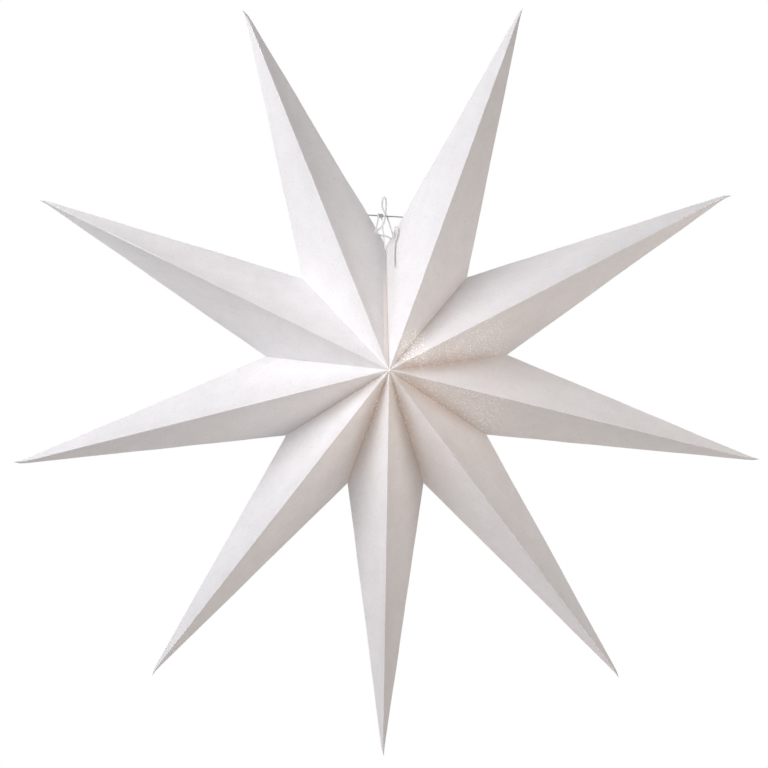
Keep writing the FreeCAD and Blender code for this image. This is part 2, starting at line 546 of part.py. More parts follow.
for side, name in ((-1, "Left"), (1, "Right")):
    place = f"{side} * Sizes.TerminalSide"
    shank = rod(f"TerminalShank{name}", "Sizes.TerminalRadius", "Sizes.TerminalLength", place, "0",
                f"{block_top} - Sizes.TerminalLength")
    head = rod(f"TerminalHead{name}", "Sizes.TerminalHeadRadius", "Sizes.TerminalHeadHeight", place, "0",
               block_top)
    slot = add("Part::Box", f"Slot{name}", Length="Sizes.SlotWidth", Width="2 * Sizes.TerminalHeadRadius",
               Height="Sizes.SlotDepth + Sizes.Overrun",
               Placement=f"placement(vector({place} - Sizes.SlotWidth / 2; -Sizes.TerminalHeadRadius;"
                         f" {LAMP_BASE} + {block_top} + Sizes.TerminalHeadHeight - Sizes.SlotDepth);"
                         f" {UPRIGHT})")
    terminals.append(cut(f"Terminal{name}", join(f"TerminalBlank{name}", [shank, head]), slot))
pair = document.addObject("Part::Compound", "Terminals")
pair.Links = terminals
finish(pair, "terminal_screws")

# Every object has to be sound before any sub-part is written.
document.recompute()
failed = [thing.Name for thing in document.Objects if {"Invalid", "Error"} & set(thing.State)]
unsound = [thing.Label for thing in FINISHED if thing.Shape.isNull() or not thing.Shape.isValid()]
if failed or unsound:
    raise RuntimeError(f"failed objects {failed}, unsound sub-parts {unsound}")
os.makedirs("parts", exist_ok=True)
for thing in FINISHED:
    thing.Shape.exportStep(f"parts/{thing.Label}.step")
    box = thing.Shape.BoundBox
    print(f"{thing.Label:20s} solids {len(thing.Shape.Solids):2d} volume {thing.Shape.Volume:10.1f}"
          f" x {box.XMin:7.1f} {box.XMax:7.1f} y {box.YMin:6.1f} {box.YMax:6.1f}"
          f" z {box.ZMin:7.1f} {box.ZMax:7.1f}")
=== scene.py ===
import math

import bpy
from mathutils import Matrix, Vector


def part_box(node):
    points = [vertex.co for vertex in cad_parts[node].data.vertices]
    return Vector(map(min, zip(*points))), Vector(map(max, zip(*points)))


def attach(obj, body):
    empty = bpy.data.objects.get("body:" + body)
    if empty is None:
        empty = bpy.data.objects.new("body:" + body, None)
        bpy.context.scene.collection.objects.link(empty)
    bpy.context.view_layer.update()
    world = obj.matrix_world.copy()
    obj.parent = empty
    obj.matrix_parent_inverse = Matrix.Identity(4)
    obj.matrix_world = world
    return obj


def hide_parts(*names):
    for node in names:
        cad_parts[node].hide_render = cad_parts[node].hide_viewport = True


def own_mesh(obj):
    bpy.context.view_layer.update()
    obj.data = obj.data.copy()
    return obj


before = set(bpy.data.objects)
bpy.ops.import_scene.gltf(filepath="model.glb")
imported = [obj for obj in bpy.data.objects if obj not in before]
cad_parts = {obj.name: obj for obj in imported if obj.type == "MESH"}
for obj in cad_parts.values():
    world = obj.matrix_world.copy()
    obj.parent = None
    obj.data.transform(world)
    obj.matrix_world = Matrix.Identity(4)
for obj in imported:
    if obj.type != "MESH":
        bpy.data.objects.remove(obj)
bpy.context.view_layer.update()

# The studio. A long lens looks at the star from the front, a little from the left and from below.
# Two soft lamps stand at the upper left, two small ones fill from the right and from below, and one
# lights the back. The walls send a little light back, and the floor lies far below the star.
CAMERA_DISTANCE = 3.5
CAMERA_LEAN = math.radians(-1.06)
PICTURE_WIDTH = 0.7004
PICTURE_CENTRE = Vector((-0.0018, 0, -0.1709))
STAR_CENTRE = Vector((0, 0, -0.1581))

to_camera = Vector((math.sin(CAMERA_LEAN), -math.cos(CAMERA_LEAN), math.tan(CAMERA_LEAN))).normalized()
lens = bpy.data.cameras.new("long_lens")
lens.angle = 2 * math.atan(PICTURE_WIDTH / 2 / CAMERA_DISTANCE)
camera = bpy.data.objects.new("camera", lens)
camera.location = PICTURE_CENTRE + to_camera * CAMERA_DISTANCE
camera.rotation_euler = (-to_camera).to_track_quat("-Z", "Y").to_euler()
bpy.context.scene.collection.objects.link(camera)
bpy.context.scene.camera = camera
bpy.context.scene.view_settings.view_transform = "Standard"


class Signal:
    """A socket of a node tree that takes part in sums, so that a pattern is written as a formula."""

    def __init__(self, tree, socket=None):
        self.tree = tree
        self.socket = socket

    def node(self, kind, settings=None, inputs=None, output=0):
        """A node of a type, with its settings, the values or links of its sockets, and one output."""
        made = self.tree.nodes.new(kind)
        for name, value in (settings or {}).items():
            setattr(made, name, value)
        for name, value in (inputs or {}).items():
            if isinstance(name, int):
                target = made.inputs[name]
            else:
                target = next(s for s in made.inputs if name in (s.identifier, s.name) and s.enabled)
            for item in value if isinstance(value, list) else [value]:
                if isinstance(item, Signal):
                    self.tree.links.new(item.socket, target)
                else:
                    target.default_value = item
        if not made.outputs:
            return made
        if isinstance(output, int):
            return Signal(self.tree, made.outputs[output])
        return Signal(self.tree, made.outputs[0]).other(output)

    def other(self, output):
        """Another output of the node that this signal comes from."""
        outputs = self.socket.node.outputs
        found = next(s for s in outputs if output in (s.identifier, s.name) and s.enabled)
        return Signal(self.tree, found)

    def sum(self, operation, *values):
        """A Math node's result for these numbers."""
        return self.node("ShaderNodeMath", {"operation": operation}, dict(enumerate(values)))

    def vector(self, operation, *values, output=0, **named):
        """A Vector Math node's result for these vectors."""
        return self.node("ShaderNodeVectorMath", {"operation": operation},
                         {**dict(enumerate(values)), **named}, output)

    def blend(self, factor, first, second):
        """A mix of two colours."""
        return self.node("ShaderNodeMix", {"data_type": "RGBA"},
                         {"Factor_Float": factor, "A_Color": first, "B_Color": second}, "Result_Color")

    def noise(self, scale, detail, roughness=0.5):
        """A cloudy pattern over this place, with its scale in repeats to a metre."""
        return self.node("ShaderNodeTexNoise", None,
                         {"Vector": self, "Scale": scale, "Detail": detail, "Roughness": roughness})

    def cells(self, scale):
        """How far this place is from the middle of its cell; the cells are scattered evenly."""
        return self.node("ShaderNodeTexVoronoi", {"feature": "F1"},
                         {"Vector": self, "Scale": scale, "Randomness": 1.0}, "Distance")

    def parts(self):
        """The red, green and blue of this colour, or the X, Y and Z of this place."""
        if self.socket.type == "RGBA":
            return self.node("ShaderNodeSeparateColor", None, {"Color": self})
        return self.node("ShaderNodeSeparateXYZ", None, {0: self})

    def bump(self, strength, distance):
        """The bumps of a surface that has this height."""
        return self.node("ShaderNodeBump", None,
                         {"Strength": strength, "Distance": distance, "Height": self})

    def __add__(self, value):
        return self.sum("ADD", self, value)

    def __radd__(self, value):
        return self.sum("ADD", value, self)

    def __sub__(self, value):
        return self.sum("SUBTRACT", self, value)

    def __rsub__(self, value):
        return self.sum("SUBTRACT", value, self)

    def __mul__(self, value):
        return self.sum("MULTIPLY", self, value)

    def __rmul__(self, value):
        return self.sum("MULTIPLY", value, self)

    def __truediv__(self, value):
        return self.sum("DIVIDE", self, value)

    def __rtruediv__(self, value):
        return self.sum("DIVIDE", value, self)

    def __neg__(self):
        return self.sum("MULTIPLY", self, -1)

    def over(self, low, high):
        """0 below low, 1 above high, and a smooth step between them."""
        return self.node("ShaderNodeMapRange", {"interpolation_type": "SMOOTHSTEP"},
                         {"Value": self, "From Min": low, "From Max": high})

    def band(self, start, full, fade, end):
        """0 before start and past end, 1 from full to fade, and smooth steps between them."""
        return self.over(start, full) * (1 - self.over(fade, end))


def finish_of(name, colour, roughness, **sockets):
    """A new material: its tree as a Signal, its shader node, and the material itself."""
    material = bpy.data.materials.new(name)
    material.use_nodes = True
    tree = material.node_tree
    shader = tree.nodes["Principled BSDF"]
    shader.inputs["Base Color"].default_value = (*colour, 1)
    shader.inputs["Roughness"].default_value = roughness
    for socket, value in sockets.items():
        shader.inputs[socket.replace("_", " ")].default_value = value
    return Signal(tree), shader, material


def feed(shader, **signals):
    """Links what changes over a surface to the shader's sockets."""
    for socket, signal in signals.items():
        signal.tree.links.new(signal.socket, shader.inputs[socket.replace("_", " ")])


# The light that the room sends back from the right and from above, by colour.
FROM_RIGHT = (0.31, 0.33, 0.33)
FROM_ABOVE = (0.122, 0.118, 0.124)
# Where each lamp stands from the middle of the star, its size, its power and its colour.
LAMPS = {"soft_lamp": ((-2.4, -2.0, 1.0), 3.0, 35.3, (0.923, 0.94, 1.0)),
         "near_lamp": ((-0.7, -0.8, 0.6), 1.0, 11.4, (1.0, 0.978, 1.0)),
         "side_fill": ((0.6, -0.5, 0.05), 0.4, 1.72, (1.0, 0.87, 0.805)),
         "low_fill": ((0.1, -0.6, -0.75), 0.5, 1.08, (1.0, 0.788, 0.6)),
         "back_lamp": ((0.45, 1.9, 0.5), 1.0, 22.0, (1.0, 0.97, 0.94))}
FLOOR_LEVEL = -1.6
FLOOR_HALF = 9.0
BLACK = (0, 0, 0, 1)
WHITE = (1, 1, 1, 1)
PALE_FLOOR = (0.72, 0.72, 0.725, 1)

world = bpy.data.worlds.new("room")
bpy.context.scene.world = world
world.use_nodes = True
room = Signal(world.node_tree)
world.node_tree.nodes.clear()
seen = room.node("ShaderNodeLightPath", output="Is Camera Ray")
ray = room.node("ShaderNodeTexCoord", output="Generated").parts()
from_right = room.vector("SCALE", FROM_RIGHT, Scale=room.sum("MAXIMUM", ray, 0.0))
from_above = room.vector("SCALE", FROM_ABOVE, Scale=room.sum("MAXIMUM", ray.other("Z"), 0.0))
room_light = room.node("ShaderNodeBackground", None,
                       {"Color": room.vector("ADD", from_right, from_above)})
white_wall = room.node("ShaderNodeBackground", None, {"Color": WHITE})
walls = room.node("ShaderNodeMixShader", None, {0: seen, 1: room_light, 2: white_wall})
room.node("ShaderNodeOutputWorld", None, {"Surface": walls})

for name, (place, width, power, colour) in LAMPS.items():
    light = bpy.data.lights.new(name, "AREA")
    light.size = width
    light.energy = power
    light.color = colour
    stand = bpy.data.objects.new(name, light)
    stand.location = STAR_CENTRE + Vector(place)
    stand.rotation_euler = (-Vector(place)).to_track_quat("-Z", "Y").to_euler()
    stand.visible_camera = False
    bpy.context.scene.collection.objects.link(stand)

floor_mesh = bpy.data.meshes.new("floor")
floor_mesh.from_pydata([(x * FLOOR_HALF, y * FLOOR_HALF, FLOOR_LEVEL)
                        for x, y in ((-1, -1), (1, -1), (1, 1), (-1, 1))], [], [(0, 1, 2, 3)])
floor = bpy.data.objects.new("floor", floor_mesh)
bpy.context.scene.collection.objects.link(floor)
# The floor looks evenly pale and lights nothing.
paint, paint_shader, floor_paint = finish_of("floor_paint", (0.9, 0.9, 0.9), 0.9,
                                             Emission_Strength=1.0)
looked_at = paint.node("ShaderNodeLightPath", output="Is Camera Ray")
feed(paint_shader, Emission_Color=paint.blend(looked_at, BLACK, PALE_FLOOR))
floor_paint.cycles.emission_sampling = "NONE"
floor_mesh.materials.append(floor_paint)

# The paper points. Each is one sheet of white embossed card with glitter flakes in its coating, cut
# and scored by machine and folded to a four-sided spike; the flaps along its valleys are glued to
# its neighbours, and only the top seam stays open. Sizes are in metres and degrees.
POINT_STEP = 40
# The folds would meet at the fold radius, and the tip is cut off just before it.
TIP_RADIUS = 0.350
FOLD_RADIUS = 0.352
NOTCH_RADIUS = 0.111
HALF_DEPTH = 0.097
FLAP_DEPTH = 0.08505
FLAP_INSET = 0.0137
CARD = 0.0004
FOLD_SOFTNESS = 0.010
BOW = -0.0012
WAVINESS = 0.0016
DROOP = 4.2
SEAM_HALF_GAP = 0.1
SEAM_BULGE = 0.0007
# The folds meet in front a little to the right of the middle and below it.
FRONT_SHIFT = (0.0011, -0.0022)
GLUE_GAP = 0.03
POINT_NAMES = ["top_right", "upper_right", "lower_right", "bottom_right", "bottom",
               "bottom_left", "lower_left", "upper_left", "top_left"]
ROUND_STEPS = 112
FLAP_ROWS = 3
BODY_ROWS = 36
# The finish: the card's tones, and the patterns' scales in repeats to a metre.
CARD_WHITE = (0.86, 0.85, 0.845)
CARD_SHADE = (0.845, 0.832, 0.83, 1)
CARD_LIGHT = (0.882, 0.872, 0.876, 1)
FLECK_GREY = (0.69, 0.68, 0.68, 1)
DULL_GREY = (0.45, 0.445, 0.45, 1)
# Painted light: the warm shade in the creases, the lamp's glow through the card, and the glints.
PAINTED_CREASE_SHADE_BROWN = (0.60, 0.49, 0.42, 1)
GLOW_COLOUR = (1.0, 0.66, 0.42, 1)
PAINTED_GLINT_AND_GLOW_COLOUR = (1.0, 0.93, 0.84, 1)
CARD_ROUGHNESS = 0.62
GRAIN_SCALE = 620.0
MOTTLE_SCALE = 46.0
FINE_SCALE = 1150.0
FLAKE_SCALE = 620.0
GLOW_REACH = 0.16
# The brightest painted glints lie to the right of the middle and above it.
SPOT_ACROSS = 0.0225
SPOT_UP = 0.0195
# The shaded side lies down and to the right, and so does the way that the slopes with painted glints
# face.
SHADE_RIGHT = 0.62
SHADE_DOWN = 0.78
GLITTER_WAY = (0.42, 0.0, -0.91)

card, card_shader, card_material = finish_of("glitter_card", CARD_WHITE, CARD_ROUGHNESS,
                                             Specular_IOR_Level=0.35, Emission_Strength=1.0)
card_place = card.node("ShaderNodeTexCoord", output="Object")
from_centre = card.vector("SUBTRACT", card_place, tuple(STAR_CENTRE)).parts()
across, up = from_centre.other("X"), from_centre.other("Z")
radius = card.sum("SQRT", across * across + up * up)
aside = (across * SHADE_RIGHT - up * SHADE_DOWN) / card.sum("MAXIMUM", radius, 0.001)
shaded_side = aside.over(-0.5, 0.3)
from_valley = card.node("ShaderNodeAttribute", {"attribute_name": "from_valley"}, output="Fac")
off_tip = 1 - from_valley.over(0.66, 0.86)
grain = card_place.noise(GRAIN_SCALE, 3.0, 0.6)
mottle = card_place.noise(MOTTLE_SCALE, 4.0, 0.6)
# Glitter: fine flakes all over but the tips, and larger ones. A few of those are dull, and others get
# painted glints, an emission that stands for caught light, most of all on the inner slopes that face
# down and to the right.
fine = card_place.cells(FINE_SCALE)
fine_parts = fine.other("Color").parts()
is_fine = fine_parts.other("Green").over(0.45, 0.6) * (1 - fine.over(0.22, 0.42)) * off_tip
flakes = card_place.cells(FLAKE_SCALE)
flake_parts = flakes.other("Color").parts()
is_flake = flake_parts.other("Green").over(0.2, 0.26) * (1 - flakes.over(0.24, 0.42)) * off_tip
is_dull = flake_parts.other("Blue").over(0.85, 0.9) * (1 - flakes.over(0.3, 0.5)) * off_tip
slope = card.node("ShaderNodeNewGeometry", output="True Normal")
lowered = card.vector("DOT_PRODUCT", slope, GLITTER_WAY, output="Value").over(0.6, 0.8)
in_valley = 1 - from_valley.over(0.0, 0.07)
inner_ring = radius.band(0.02, 0.04, 0.10, 0.13) * across.over(-0.01, 0.03)
off_hub = radius.over(0.006, 0.016)
lit_valley = in_valley * off_hub * (1 - radius.over(0.06, 0.09))
lit_zone = card.sum("MAXIMUM", lowered * inner_ring, lit_valley) * shaded_side
spot_across, spot_up = across - SPOT_ACROSS, up - SPOT_UP
from_spot = card.sum("SQRT", spot_across * spot_across + spot_up * spot_up)
painted_light_spot = 1 - from_spot.over(0.006, 0.022)
is_lit = (flake_parts.other("Red") + lit_zone * 0.5 + painted_light_spot * 0.45).over(0.94, 1.0) * is_flake
flake_light = lit_zone * 0.5 + painted_light_spot * 1.2 + 0.1
painted_glint = is_lit * (flake_parts.other("Blue") * 0.7 + 0.3) * flake_light
# The card is greyer where flakes lie, and painted shade, warm from the lamp's light, browns its creases
# near the middle on the shaded side.
relief = grain * off_tip * 0.7 + mottle * 0.5 - is_fine * 0.2
paper_tone = card.blend(mottle.over(0.3, 0.7), CARD_SHADE, CARD_LIGHT)
grain_tone = card.blend(is_fine * 0.35, paper_tone, FLECK_GREY)
dull_tone = card.blend(is_dull * 0.24, grain_tone, DULL_GREY)
shaded_inside = (1 - radius.over(0.06, 0.13)) * shaded_side * off_hub
painted_crease_shade = (1 - from_valley.over(-0.01, 0.10)) * shaded_inside
crease_shade_tone = card.blend(painted_crease_shade * 0.45, dull_tone, PAINTED_CREASE_SHADE_BROWN)
# Painted glow: the lit lamp inside seems to glow faintly through the card, and more along the open
# seam's two edges; beside the seam it also lifts the shade that the top left point casts on the top
# right one.
along_seam = up.over(0.004, 0.02)
left_seam_glow = across.band(-0.0038, -0.0026, -0.0006, 0.0) * (1 - up.over(0.06, 0.1)) * along_seam
right_seam_glow = across.band(-0.0004, 0.0004, 0.001, 0.006) * (1 - up.over(0.1, 0.125)) * along_seam
through_card = (1 - radius.over(0.02, GLOW_REACH)) * (0.2 + 0.8 * shaded_side)
glow_tone = card.blend(through_card * 0.04 + left_seam_glow * 0.15, BLACK, GLOW_COLOUR)
painted_glow_tone = card.blend(right_seam_glow * 0.1 + painted_light_spot * 0.04, glow_tone, PAINTED_GLINT_AND_GLOW_COLOUR)
# The emission paints the glitter's glints and the lamp's glow through the card.
feed(card_shader,
     Base_Color=crease_shade_tone,
     Metallic=is_fine * 0.25,
     Roughness=CARD_ROUGHNESS - 0.3 * is_fine,
     Emission_Color=card.blend(card.sum("MINIMUM", painted_glint, 1.0), painted_glow_tone, PAINTED_GLINT_AND_GLOW_COLOUR),
     Normal=relief.bump(0.35, 0.0006))
# The glow is too faint to light other pieces, so the render leaves it out of its search for lamps.
card_material.cycles.emission_sampling = "NONE"

# How far the steps round the sheet crowd at the folds. Places along it run from 0 in the valley to 1
# at the tip, and the fades say over which part of it something comes or goes: 6 is one sixth.
CROWDING = 0.14
BULGE_END = 0.28
BOW_FADE = 1.15
WAVE_IN = 6
WAVE_OUT = 5
THINNING = 14
LAST_ROW = 0.999
BEND_START = 0.955
INNER_SHORTER = 0.006
WAVE_SCALE = 16.0
SAME_SPOT = 0.000002


def folded_point_tree():
    """Geometry Nodes that fold one sheet: a tube of rows that run from the tip down the outside,
    round the flaps' edges and up the inside, whose section is a kite with softened folds."""
    tree = bpy.data.node_groups.new("folded_point", "GeometryNodeTree")
    face = tree.interface
    face.new_socket("Geometry", in_out="INPUT", socket_type="NodeSocketGeometry")
    for name in ("Tip Angle", "Left Valley", "Right Valley", "Tip Radius", "Fold Radius", "Left Notch",
                 "Right Notch", "Half Depth", "Flap Depth", "Flap Inset", "Card", "Fold Softness",
                 "Bow", "Waviness", "Seam Bulge", "Tip Bend Side", "Tip Bend Front"):
        face.new_socket(name, in_out="INPUT", socket_type="NodeSocketFloat")
    face.new_socket("Seed", in_out="INPUT", socket_type="NodeSocketFloat")
    face.new_socket("Paper", in_out="INPUT", socket_type="NodeSocketMaterial")
    face.new_socket("Point", in_out="OUTPUT", socket_type="NodeSocketGeometry")
    g = Signal(tree)
    given = g.node("NodeGroupInput")
    size = given.other
    rows = 2 * (FLAP_ROWS + BODY_ROWS + 1)
    blank = g.node("GeometryNodeMeshCylinder", {"fill_type": "NONE"},
                   {"Vertices": ROUND_STEPS, "Side Segments": rows - 1, "Radius": 1.0, "Depth": 1.0})
    spot = g.node("GeometryNodeInputPosition").parts()
    turn = g.sum("ARCTAN2", spot.other("Y"), spot)

    def kept(geometry, name, value):
        """Writes a number to every vertex of the blank, and reads it after the vertices move."""
        held = g.node("GeometryNodeStoreNamedAttribute", {"data_type": "FLOAT", "domain": "POINT"},
                      {"Geometry": geometry, "Name": name, "Value": value})
        return held, g.node("GeometryNodeInputNamedAttribute", {"data_type": "FLOAT"}, {"Name": name})

    blank, level = kept(blank, "level", spot.other("Z") + 0.5)
    # Round the sheet: four sides, with the steps drawn together at the folds.
    lap = g.sum("FRACT", 1.0 - turn / math.tau) * 4
    blank, around = kept(blank, "around", lap - CROWDING * g.sum("SINE", lap * math.tau))
    inner = g.sum("LESS_THAN", level, 0.5)
    soft = size("Fold Softness")

    def nearness(corner):
        """1 at a corner of the kite and 0 at its neighbours, rounded over the fold's softness."""
        reach = g.sum("ABSOLUTE", g.sum("FLOORED_MODULO", around - (corner - 2), 4.0) - 2)
        ramp = 1 - reach
        low = g.sum("MINIMUM", g.sum("MAXIMUM", ramp + soft, 0.0), 2 * soft)
        rounded = low * low / (4 * soft) + g.sum("MAXIMUM", ramp - soft, 0.0)
        dip = g.sum("MAXIMUM", soft - reach, 0.0)
        return rounded - dip * dip / (2 * soft)

    front, left, back, right = (nearness(corner) for corner in range(4))

    # Along the sheet: q is 0 at the flaps' edge and 1 at the tip.
    edge = 1 / (rows - 1)
    q = (g.sum("ABSOLUTE", level * 2 - 1) - edge) / (1 - edge)
    fold_row = FLAP_ROWS / (FLAP_ROWS + BODY_ROWS)
    into_flap = g.sum("MAXIMUM", 1 - q / fold_row, 0.0)
    along = g.sum("MAXIMUM", (q - fold_row) / (1 - fold_row), 0.0)
    reached = along * size("Tip Radius") / size("Fold Radius")

    def aim(angle, radius):
        """The place at an angle and a distance from the star's centre, across and up."""
        radians = angle * (math.pi / 180)
        return g.sum("COSINE", radians) * radius, g.sum("SINE", radians) * radius

    def section(depth, inset):
        """The kite across the star's centre, from the valleys' angles and notches."""
        left_x, left_z = aim(size("Left Valley"), size("Left Notch") - inset)
        right_x, right_z = aim(size("Right Valley"), size("Right Notch") - inset)
        return (left_x * left + right_x * right + FRONT_SHIFT[0] * front, (back - front) * depth,
                left_z * left + right_z * right + FRONT_SHIFT[1] * front)

    tip_x, tip_z = aim(size("Tip Angle"), size("Fold Radius"))
    body = section(size("Half Depth"), 0.0)
    flap = section(size("Flap Depth"), size("Flap Inset"))
    last = g.sum("GREATER_THAN", along, LAST_ROW)
    place = []
    for at_body, at_flap, at_tip in zip(body, flap, (tip_x, 0.0, tip_z)):
        section_share = (1 - reached) * (1 - last)
        place.append(at_body * section_share + (at_flap - at_body) * into_flap
                     + at_tip * (reached - last * inner * INNER_SHORTER))
    spot_now = g.node("ShaderNodeCombineXYZ", None, dict(enumerate(place)))
    folded = g.node("GeometryNodeSetPosition", None, {"Geometry": blank, "Position": spot_now})

    # The hooked end of the wire pushes the fold beside the open seam outwards.
    hump = g.sum("SINE", g.sum("MINIMUM", along / BULGE_END, 1.0) * math.pi) * right
    push_x, push_z = aim(size("Tip Angle") - 90, size("Seam Bulge"))
    push = g.node("ShaderNodeCombineXYZ", None, {0: push_x * hump, 2: push_z * hump})
    folded = g.node("GeometryNodeSetPosition", None, {"Geometry": folded, "Offset": push})

    # The card's thickness, a slight bow of each facet and the unevenness of folded card.
    normal = g.node("GeometryNodeInputNormal")
    fraction = g.sum("FRACT", around)
    lengthwise = g.sum("SINE", g.sum("MINIMUM", along * BOW_FADE, 1.0) * math.pi)
    belly = g.sum("SINE", fraction * math.pi) * lengthwise
    here = g.node("GeometryNodeInputPosition")
    wave = g.node("ShaderNodeTexNoise", {"noise_dimensions": "4D"},
                  {"Vector": here, "W": size("Seed"), "Scale": WAVE_SCALE, "Detail": 2.0,
                   "Roughness": 0.5})
    fade = g.sum("MINIMUM", along * WAVE_IN, 1.0) * g.sum("MINIMUM", (1 - along) * WAVE_OUT, 1.0)
    lift = belly * size("Bow") + (wave - 0.5) * fade * size("Waviness")
    thin = g.sum("MINIMUM", (1 - along) * THINNING, 1.0)
    offset = lift * (1 - 2 * inner) + inner * size("Card") * thin
    thick = g.node("GeometryNodeSetPosition", None,
                   {"Geometry": folded, "Offset": g.vector("SCALE", normal, Scale=offset)})

    # The last few millimetres of the tip are bent over, as handling leaves them.
    bend = g.sum("MAXIMUM", along - BEND_START, 0.0) / (1 - BEND_START)
    bend = bend * bend
    side_x, side_z = aim(size("Tip Angle") + 90, size("Tip Bend Side"))
    bent = g.node("ShaderNodeCombineXYZ", None, {0: side_x * bend, 1: -size("Tip Bend Front") * bend,
                                                 2: side_z * bend})
    hooked = g.node("GeometryNodeSetPosition", None, {"Geometry": thick, "Offset": bent})
    closed = g.node("GeometryNodeMergeByDistance", None,
                    {"Geometry": hooked, "Selection": last, "Distance": SAME_SPOT})
    hung = g.node("GeometryNodeTransform", None,
                  {"Geometry": closed, "Translation": (0, 0, STAR_CENTRE.z)})
    whole = g.node("GeometryNodeRealizeInstances", None, {"Geometry": hung})
    # How far a spot is from the valley, for the finish: 0 in the valley and 1 at the tip.
    whole = g.node("GeometryNodeStoreNamedAttribute", {"data_type": "FLOAT", "domain": "POINT"},
                   {"Geometry": whole, "Name": "from_valley", "Value": along})
    for name in ("level", "around"):
        whole = g.node("GeometryNodeRemoveAttribute", None, {"Geometry": whole, "Name": name})
    finished = g.node("GeometryNodeSetMaterial", None,
                      {"Geometry": whole, "Material": size("Paper")})
    g.node("NodeGroupOutput", None, {"Point": finished})
    return tree


def made_by(tree, source, values):
    """Runs a tree on an object and gives the result as a plain mesh; the object itself goes."""
    modifier = source.modifiers.new("made_by", "NODES")
    modifier.node_group = tree
    for item in tree.interface.items_tree:
        if item.in_out == "INPUT" and item.name in values:
            modifier[item.identifier] = values[item.name]
    source.update_tag()
    bpy.context.view_layer.update()
    evaluated = source.evaluated_get(bpy.context.evaluated_depsgraph_get())
    mesh = bpy.data.meshes.new_from_object(evaluated)
    source.modifiers.remove(modifier)
    bpy.data.objects.remove(source)
    return mesh


def smoothed(mesh, sharp=None):
    """Shades a mesh smooth, but for the edges that are sharper than an angle."""
    for face in mesh.polygons:
        face.use_smooth = True
    if sharp is not None:
        mesh.set_sharp_from_angle(angle=sharp)
    return mesh


def placed(name, mesh, body, slot, *nodes):
    """A finished piece: its object at the origin, its body and the nodes it stands for; the finish's
    slot is not used.
    """
    mesh.name = name
    piece = bpy.data.objects.new(name, mesh)
    bpy.context.scene.collection.objects.link(piece)
    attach(piece, body)
    if nodes:
        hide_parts(*nodes)
    return piece


# Where hand work has left each tip and each valley, off the even layout: degrees and metres. A
# point's valleys are its own left one and the next in order.
TIP_SHIFTS = [(0.88, 0.0038), (0.75, 0.0041), (0.5, 0.0011), (0.0, 0.0018), (-0.47, 0.0018),
              (-0.33, 0.0004), (0.1, -0.0005), (0.1, 0.0016), (0.0, 0.0037)]
VALLEY_SHIFTS = [(0, 0.0022), (1.5, 0.002), (1.3, 0.001), (0.9, -0.0014), (-0.2, -0.0018),
                 (-0.2, -0.0014), (-0.4, -0.0015), (-0.5, -0.0007), (-0.3, 0.002), (0, 0.0032)]
# How far each tip is bent over to its side and to the front.
TIP_BENDS = [(-0.001, 0.002), (-0.002, 0.001), (0.0015, -0.001), (-0.001, 0.001), (0.001, 0.0015),
             (0.0015, 0.001), (-0.002, 0.001), (0.001, -0.001), (0.002, 0.001)]
FIRST_SEED = 3.0
SHARP_FOLD = math.radians(32)


def sagged(angle):
    """The star hangs from its top seam, so its points sag, most of all those at the sides."""
    return angle - DROOP * math.cos(math.radians(angle))


def valley(order):
    """The angle and the notch radius of a valley; the first and the last are the open seam."""
    turn, reach = VALLEY_SHIFTS[order]
    return sagged(90 - POINT_STEP * order) + turn, NOTCH_RADIUS + reach


folding = folded_point_tree()
for order, name in enumerate(POINT_NAMES):
    turn, reach = TIP_SHIFTS[order]
    side_bend, front_bend = TIP_BENDS[order]
    tip = sagged(90 - POINT_STEP * (order + 0.5)) + turn
    left, left_notch = valley(order)
    right, right_notch = valley(order + 1)
    left -= SEAM_HALF_GAP if name == "top_right" else GLUE_GAP
    right += SEAM_HALF_GAP if name == "top_left" else GLUE_GAP
    blank = bpy.data.objects.new("blank", bpy.data.meshes.new("blank"))
    bpy.context.scene.collection.objects.link(blank)
    mesh = made_by(folding, blank, {
        "Tip Angle": tip, "Tip Radius": TIP_RADIUS + reach, "Fold Radius": FOLD_RADIUS + reach,
        "Left Valley": left, "Left Notch": left_notch,
        "Right Valley": right, "Right Notch": right_notch,
        "Half Depth": HALF_DEPTH, "Flap Depth": FLAP_DEPTH, "Flap Inset": FLAP_INSET, "Card": CARD,
        "Fold Softness": FOLD_SOFTNESS, "Bow": BOW, "Waviness": WAVINESS,
        "Seam Bulge": SEAM_BULGE if name == "top_left" else 0.0,
        "Tip Bend Side": side_bend, "Tip Bend Front": front_bend,
        "Seed": FIRST_SEED + order, "Paper": card_material})
    body = "root" if name == "bottom" else f"{name}_body"
    point = placed(f"paper_{name}", smoothed(mesh, SHARP_FOLD), body, "paper", f"point_{name}")
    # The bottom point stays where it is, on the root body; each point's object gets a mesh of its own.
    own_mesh(point)

# The hanger wire: drawn steel wire with a dull grey skin, bent cold. It lies across the notch with
# its ends hooked inside the two top points.
WIRE_STEEL = (0.23, 0.235, 0.23)
TARNISHED_STEEL = (0.34, 0.345, 0.34, 1)
BRIGHT_STEEL = (0.56, 0.565, 0.555, 1)


def dressed(material, *nodes):
    """Puts a material on CAD nodes in place of the plain one."""
    for name in nodes:
        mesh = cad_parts[name].data
        mesh.materials.clear()
        mesh.materials.append(material)


wire, wire_shader, wire_material = finish_of("drawn_wire", WIRE_STEEL, 0.42, Metallic=0.85)
wire_place = wire.node("ShaderNodeTexCoord", output="Object")
scale_marks = wire_place.noise(900.0, 4.0)
tarnish = wire_place.noise(120.0, 3.0)
feed(wire_shader,
     Base_Color=wire.blend((tarnish * 0.6 + scale_marks * 0.4).over(0.35, 0.65),
                           TARNISHED_STEEL, BRIGHT_STEEL),
     Roughness=scale_marks * 0.35 + 0.28,
     Normal=scale_marks.bump(0.25, 0.0001))
dressed(wire_material, "hanger_wire")

